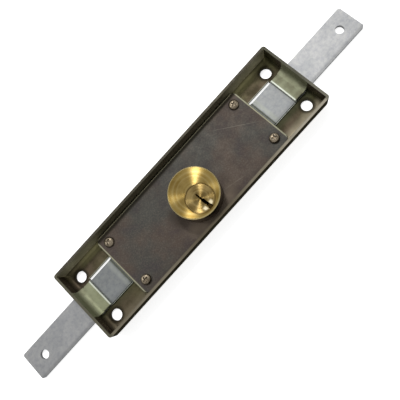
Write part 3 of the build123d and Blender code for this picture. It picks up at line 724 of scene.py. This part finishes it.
def round_piece(name, points, finish, node, body):
    """Makes a closed mesh of copies x rows x columns points, where the columns run round and join up.

    Rows that shrink to a point at an end are merged into one vertex there, and all faces turned outwards.
    """
    copies, rows, columns = points.shape[:3]
    row, column = np.meshgrid(np.arange(rows - 1), np.arange(columns), indexing="ij")
    after = (column + 1) % columns
    quads = np.stack([row * columns + column, row * columns + after,
                      (row + 1) * columns + after, (row + 1) * columns + column], axis=-1).reshape(1, -1, 4)
    quads = quads + (rows * columns * np.arange(copies)).reshape(-1, 1, 1)
    mesh = bpy.data.meshes.new(name)
    mesh.from_pydata(points.reshape(-1, 3).tolist(), [], quads.reshape(-1, 4).tolist())
    work = bmesh.new()
    work.from_mesh(mesh)
    bmesh.ops.remove_doubles(work, verts=work.verts, dist=MERGE_DISTANCE)
    bmesh.ops.recalc_face_normals(work, faces=work.faces)
    work.to_mesh(mesh)
    work.free()
    mesh.shade_smooth()
    mesh.set_sharp_from_angle(angle=SHARP_EDGE)
    mesh.materials.append(finish)
    piece = bpy.data.objects.new(name, mesh)
    bpy.context.scene.collection.objects.link(piece)
    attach(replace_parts(piece, node), body)
    print(name, "faces:", len(mesh.polygons))
    return piece


def ramp(value, low, high):
    """0 below low, 1 above high, and smooth between: t * t * (3 - 2 * t)."""
    t = np.clip((value - low) / (high - low), 0, 1)
    return t * t * (3 - 2 * t)


# %% [markdown]
# A screw is one profile turned round its axis: over the head from the middle to the edge, back in to the
# shank, and down the thread to the tip. Two things break the roundness. The thread cuts into the shank
# where height and angle agree, and the recess sinks the head inside the shape of the driver.

# %% A screw in its own frame
THREAD_PITCH = 0.45 * MM
THREAD_DEPTH = 0.25 * MM
THREAD_START = 0.3 * MM
HEAD_WALL = 0.2 * MM
ROWS_PER_THREAD = 6
ROUND_COLUMNS = 72


def screw_surface(head, recess, shank_radius, length):
    """Rows x columns points of a screw: its head stands on z = 0 and its shank goes down to z = -length.

    head is the profile (radius, height) from the middle out and back to the shank, and recess(u, v) is the
    depth of the driver's recess, cut only where the head is higher than HEAD_WALL. The shank's radius is
    shank_radius - THREAD_DEPTH * (1 - |2 * frac(z / THREAD_PITCH + angle / turn) - 1|). The wave fades out
    over one pitch at both ends, and below the head the shank starts with its full radius.
    """
    angle = np.linspace(0, 2 * np.pi, ROUND_COLUMNS, endpoint=False)[None, :]
    radius, height = head[:, :1], head[:, 1:]
    sunk = recess(radius * np.cos(angle), radius * np.sin(angle)) * (height > head[-1, 1] + HEAD_WALL)
    tops = [radius - np.maximum(0, radius - (head[:, 0].max() - sunk)) * (sunk > 0), height - sunk]
    down = np.linspace(head[-1, 1], -length, int(ROWS_PER_THREAD * length / THREAD_PITCH))[:, None]
    fade = ramp(-down, 0, THREAD_PITCH) * ramp(down + length, 0, THREAD_PITCH)
    wave = np.abs(2 * ((down / THREAD_PITCH + angle / (2 * np.pi)) % 1) - 1)
    shank = shank_radius - THREAD_DEPTH * (1 - fade * wave) * ramp(-down, 0, THREAD_START)
    rows_r = np.vstack([np.broadcast_to(tops[0], sunk.shape), shank, shank[-1:] * 0])
    rows_z = np.vstack([tops[1], np.broadcast_to(down, shank.shape), np.full_like(shank[:1], -length)])
    return np.stack([rows_r * np.cos(angle), rows_r * np.sin(angle), rows_z], axis=-1)


# %% [markdown]
# Four screws hold the cover. One of them is measured, and the others stand in the other three quarters.
# Each was driven home at its own angle.

# %% Cover screws: pan heads with a cross recess
screw_low, screw_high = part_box("cover_screws")
screw_points = node_points("cover_screws")
quarter = inside(screw_points, x=(0, FAR), y=(0, FAR))
SCREW_AT = (quarter.min(axis=0) + quarter.max(axis=0)) / 2
HEAD_RADIUS = float(quarter[:, 0].max() - quarter[:, 0].min()) / 2
tip = inside(quarter, z=(-FAR, screw_low.z + 0.1 * MM))
SHANK_RADIUS = float(tip[:, 0].max() - tip[:, 0].min()) / 2
HEAD_HEIGHT = screw_high.z - cover_high.z
DOME_ROWS = 44
CROSS_WIDTH, CROSS_SPAN, CROSS_DEPTH = 0.75 * MM, 3.4 * MM, 1.0 * MM
CROSS_SIDE_SLOPE, CROSS_END_SLOPE, CROSS_FALL = 0.16 * MM, 0.5 * MM, 0.8
print("cover screw's head radius and height and shank radius in mm:",
      [round(v / MM, 2) for v in (HEAD_RADIUS, HEAD_HEIGHT, SHANK_RADIUS)])


def pan_head():
    """Profile of a pan head: (r / R) ** 3 + (z / H) ** 3 = 1, then straight in to the shank."""
    share = np.sin(np.linspace(0, np.pi / 2, DOME_ROWS))
    dome = np.stack([HEAD_RADIUS * share, HEAD_HEIGHT * (1 - share ** 3) ** (1 / 3)], axis=1)
    return np.vstack([dome, [(HEAD_RADIUS, 0), (SHANK_RADIUS, 0)]])


def cross_recess(u, v):
    """Depth of two crossed slots with sloping walls, deepest in the middle."""
    def arm(a, b):
        beside = ramp(CROSS_WIDTH / 2 + CROSS_SIDE_SLOPE / 2 - np.abs(a), 0, CROSS_SIDE_SLOPE)
        return beside * ramp(CROSS_SPAN / 2 - np.abs(b), 0, CROSS_END_SLOPE)
    away = np.hypot(u, v) / CROSS_SPAN
    return CROSS_DEPTH * (1 - CROSS_FALL * away) * np.maximum(arm(u, v), arm(v, u))


def turned(points, degrees):
    """Points turned about the z axis."""
    c, s = math.cos(math.radians(degrees)), math.sin(math.radians(degrees))
    return points @ np.array([[c, s, 0], [-s, c, 0], [0, 0, 1]])


# %% The four cover screws in their places
SCREW_TURNS = {(1, 1): 22, (1, -1): 64, (-1, 1): 41, (-1, -1): 8}
one = screw_surface(pan_head(), cross_recess, SHANK_RADIUS, cover_high.z - screw_low.z)
for (sx, sy), degrees in SCREW_TURNS.items():
    place = np.array([sx * SCREW_AT[0], sy * SCREW_AT[1], cover_high.z])
    piece = round_piece(f"cover_screw_{'right' if sx > 0 else 'left'}_{'back' if sy > 0 else 'front'}",
                        (turned(one, degrees) + place)[None], SCREW_TOP, "cover_screws", "lock_case")

# %% [markdown]
# Two more screws hold the cylinder from below the cover. Their heads lie in countersinks and point
# downwards, so the same surface is turned over by changing the sign of its heights.

# %% Cylinder screws: countersunk and slotted
fixing_points = node_points("cylinder_screws")
fixing_low, fixing_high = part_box("cylinder_screws")
side_points = inside(fixing_points, x=(BODY_CENTRE.x, FAR))
FIXING_AT = (side_points.min(axis=0) + side_points.max(axis=0)) / 2
FIXING_RADIUS = float(side_points[:, 1].max() - side_points[:, 1].min()) / 2
FACE_ROWS = 26
FACE_RIM = 0.02 * MM
FIXING_SLOT_WIDTH, FIXING_SLOT_DEPTH, FIXING_SLOT_SLOPE = 0.7 * MM, 0.6 * MM, 0.1 * MM


def countersunk_head():
    """Profile of a countersunk head: flat face, a hair of a rim, then a cone at 45 degrees."""
    face = np.stack([np.linspace(0, FIXING_RADIUS, FACE_ROWS), np.zeros(FACE_ROWS)], axis=1)
    deep = FIXING_RADIUS - SHANK_RADIUS
    return np.vstack([face, [(FIXING_RADIUS, -FACE_RIM), (SHANK_RADIUS, -deep)]])


def slot_recess(u, v):
    """Depth of one straight slot right across the head."""
    beside = ramp(FIXING_SLOT_WIDTH / 2 + FIXING_SLOT_SLOPE / 2 - np.abs(v), 0, FIXING_SLOT_SLOPE)
    return FIXING_SLOT_DEPTH * beside + 0 * u


one = screw_surface(countersunk_head(), slot_recess, SHANK_RADIUS, fixing_high.z - fixing_low.z)
for way, degrees in ((-1, 12), (1, 70)):
    flipped = turned(one, degrees) * np.array([1, 1, -1])
    place = np.array([BODY_CENTRE.x + way * (FIXING_AT[0] - BODY_CENTRE.x), FIXING_AT[1], fixing_low.z])
    piece = round_piece(f"cylinder_screw_{'right' if way > 0 else 'left'}", (flipped + place)[None], SCREW,
                        "cylinder_screws", "lock_case")

# %% [markdown]
# A pin spring is one tube swept along a helix. Its ends are closed: over most of the first and of the last
# turn the helix climbs very little, so that the spring stands flat on the pin.

# %% Pin springs: round wire with closed ends
PIN_STACKS = 4
WIRE_RADIUS = 0.17 * MM
SPRING_TURNS = 7
CLOSED_TURNS = 0.8
STEPS_PER_TURN = 20
WIRE_SIDES = 10
driver_points, cap_points = node_points("driver_pins"), node_points("chamber_caps")
coil_points = node_points("pin_springs")
way = np.array(STACK_WAY)
across = np.cross(way, (0, 0, 1))
SPRING_RADIUS = float(np.ptp(coil_points @ across)) / 2 - WIRE_RADIUS
SPRING_START = float((driver_points @ way).max()) + WIRE_RADIUS
SPRING_END = float((cap_points @ way).min()) - WIRE_RADIUS
STACK_OFFSET = float((driver_points @ across).max() + (driver_points @ across).min()) / 2
pin_radius = float(np.ptp(driver_points @ across)) / 2
STACK_LEVELS = np.linspace(driver_low.z + pin_radius, driver_high.z - pin_radius, PIN_STACKS)


def coil_surface():
    """Copies x rows x columns points of the springs, each a circle of wire carried along its own helix.

    The centre line is radius * (cos, sin) of 2 * pi * turn across the stack, and climbs along it from start
    to end: by closed / 2 over CLOSED_TURNS at each end, and by the rest in the middle.
    """
    turn = np.linspace(0, SPRING_TURNS, SPRING_TURNS * STEPS_PER_TURN + 1)[:, None, None]
    swing = 2 * np.pi * turn
    middle = np.clip((turn - CLOSED_TURNS) / (SPRING_TURNS - 2 * CLOSED_TURNS), 0, 1)
    lay = np.clip(turn / CLOSED_TURNS, 0, 1) - np.clip((SPRING_TURNS - turn) / CLOSED_TURNS, 0, 1) + 1
    closed = 2 * WIRE_RADIUS * CLOSED_TURNS
    along = SPRING_START + closed * lay / 2 + (SPRING_END - SPRING_START - closed) * middle
    out = np.cos(swing) * across + np.sin(swing) * np.array([0, 0, 1.0])
    section = np.linspace(0, 2 * np.pi, WIRE_SIDES, endpoint=False)[None, :, None]
    wire = WIRE_RADIUS * (np.cos(section) * out + np.sin(section) * way)
    points = along * way + SPRING_RADIUS * out + wire
    first, last = [row.mean(axis=1, keepdims=True) + 0 * row for row in (points[:1], points[-1:])]
    one = np.concatenate([first, points, last]) + STACK_OFFSET * across
    return one[None] + np.stack([np.array([0, 0, z]) for z in STACK_LEVELS])[:, None, None, :]


piece = round_piece("pin_springs_round_wire", coil_surface(), SPRING, "pin_springs", "lock_case")
print("spring outside diameter and length in mm:", round(2 * (SPRING_RADIUS + WIRE_RADIUS) / MM, 2),
      round((SPRING_END - SPRING_START) / MM, 2))

# %% [markdown]
# ## The floor and the light
# A product is often shown on a white sweep. The floor is a plain diffuse sheet, lifted towards white only
# for the rays that the camera and shiny surfaces send, so that metal shows a pale room while the floor
# keeps the soft shadow. The world does the same: white where it is seen, and weaker where it lights the
# lock.

# %% A pale floor
FLOOR_HALF = 4.0
FLOOR_DROP = 0.05 * MM
FLOOR_TONE = 0.93
FLOOR_GLOW = 0.7


def floor_material():
    """Pale diffuse sheet that glows by FLOOR_GLOW for the camera, mirrors and glass."""
    f = Finish("pale_floor")
    ray = f.node("ShaderNodeLightPath").outputs
    seen = f.math("MAXIMUM", ray["Is Camera Ray"], ray["Is Glossy Ray"])
    seen = f.math("MAXIMUM", seen, ray["Is Transmission Ray"])
    sheet = f.node("ShaderNodeBsdfDiffuse", {"Color": (FLOOR_TONE, FLOOR_TONE, FLOOR_TONE, 1)}).outputs[0]
    glow = f.node("ShaderNodeEmission", {"Color": (1, 1, 1, 1),
                                         "Strength": f.product(seen, FLOOR_GLOW)}).outputs[0]
    both = f.node("ShaderNodeAddShader", {0: sheet, 1: glow}).outputs[0]
    f.tree.links.new(both, f.tree.nodes["Material Output"].inputs["Surface"])
    return f.material


def floor_sheet():
    """A square sheet a hair below the lock's back plane."""
    corners = np.array([(-1, -1), (1, -1), (1, 1), (-1, 1)]) * FLOOR_HALF
    points = [(float(a), float(b), -FLOOR_DROP) for a, b in corners]
    mesh = bpy.data.meshes.new("floor")
    mesh.from_pydata(points, [], [(0, 1, 2, 3)])
    return bpy.data.objects.new("floor", mesh)


floor = floor_sheet()
floor.data.materials.append(floor_material())
bpy.context.scene.collection.objects.link(floor)
print("floor's side in metres:", 2 * FLOOR_HALF)

# %% [markdown]
# The world is the room. Its strength is 1 for the rays that show it, which gives the white background, and
# WORLD_FILL for the rest, or the shadows below the cover would drown in light.

# %% A soft room
WORLD_FILL = 0.42


def soft_world():
    """White for the camera, mirrors and glass; WORLD_FILL for the light that falls on the lock."""
    world = bpy.data.worlds.new("soft_room")
    world.use_nodes = True
    tree = world.node_tree
    ray = tree.nodes.new("ShaderNodeLightPath").outputs
    seen = ray["Is Camera Ray"]
    for other in (ray["Is Glossy Ray"], ray["Is Transmission Ray"]):
        larger = tree.nodes.new("ShaderNodeMath")
        larger.operation = "MAXIMUM"
        tree.links.new(seen, larger.inputs[0])
        tree.links.new(other, larger.inputs[1])
        seen = larger.outputs[0]
    level = tree.nodes.new("ShaderNodeMapRange")
    level.inputs["To Min"].default_value = WORLD_FILL
    tree.links.new(seen, level.inputs["Value"])
    tree.links.new(level.outputs[0], tree.nodes["Background"].inputs["Strength"])
    tree.nodes["Background"].inputs["Color"].default_value = (1, 1, 1, 1)
    return world


bpy.context.scene.world = soft_world()
print("world:", bpy.context.scene.world.name, "with fill", WORLD_FILL)

# %% [markdown]
# Two small soft lamps stand high on the far side, one right and one left. The right one is stronger. It
# draws the short shadows below the rims and the bow-tie on the turned brass, and the other softens them.

# %% Lamps
def soft_lamp(name, direction, distance, size, watts):
    """A square lamp at a distance along a direction, both from the origin, which it faces."""
    data = bpy.data.lights.new(name, "AREA")
    data.energy, data.size = watts, size
    lamp = bpy.data.objects.new(name, data)
    way = Vector(direction).normalized()
    lamp.matrix_world = Matrix.Translation(way * distance) @ way.to_track_quat("Z", "Y").to_matrix().to_4x4()
    bpy.context.scene.collection.objects.link(lamp)
    print(name, "direction:", [round(v, 3) for v in way])


soft_lamp("key_lamp", direction=(0.25, 0.445, 0.861), distance=0.75, size=0.09, watts=2.2)
soft_lamp("second_lamp", direction=(-0.37, 0.48, 0.79), distance=0.9, size=0.14, watts=1.3)

# %% [markdown]
# ## The camera
# The lock was photographed from high above, a little to one long side, and the camera was turned so that
# the lock lies across the picture's diagonal. Three angles and a distance say this: the height above the
# floor, the side that the camera stands on, and its roll about its own axis.

# %% The camera
LOOK_AT = Vector((-0.22, -5.92, 0)) * MM
CAMERA_DISTANCE = 255.98 * MM
CAMERA_ELEVATION = 75.824
CAMERA_AZIMUTH = -89.25
CAMERA_ROLL = 48.49
CAMERA_ANGLE = 47.245


def place_camera():
    """Looks from the given elevation and azimuth at LOOK_AT, then turns about the line of sight."""
    up, around = math.radians(CAMERA_ELEVATION), math.radians(CAMERA_AZIMUTH)
    back = Vector((math.cos(up) * math.cos(around), math.cos(up) * math.sin(around), math.sin(up)))
    side = Vector((0, 0, 1)).cross(back).normalized()
    top = back.cross(side)
    turn = math.radians(CAMERA_ROLL)
    right = side * math.cos(turn) - top * math.sin(turn)
    over = side * math.sin(turn) + top * math.cos(turn)
    basis = Matrix((right, over, back)).transposed()
    data = bpy.data.cameras.new("camera")
    data.angle = math.radians(CAMERA_ANGLE)
    camera = bpy.data.objects.new("camera", data)
    camera.matrix_world = Matrix.Translation(LOOK_AT + back * CAMERA_DISTANCE) @ basis.to_4x4()
    bpy.context.scene.collection.objects.link(camera)
    bpy.context.scene.camera = camera
    print("camera right and up:", [round(v, 4) for v in right], [round(v, 4) for v in over])


place_camera()
bpy.context.scene.view_settings.view_transform = "Standard"
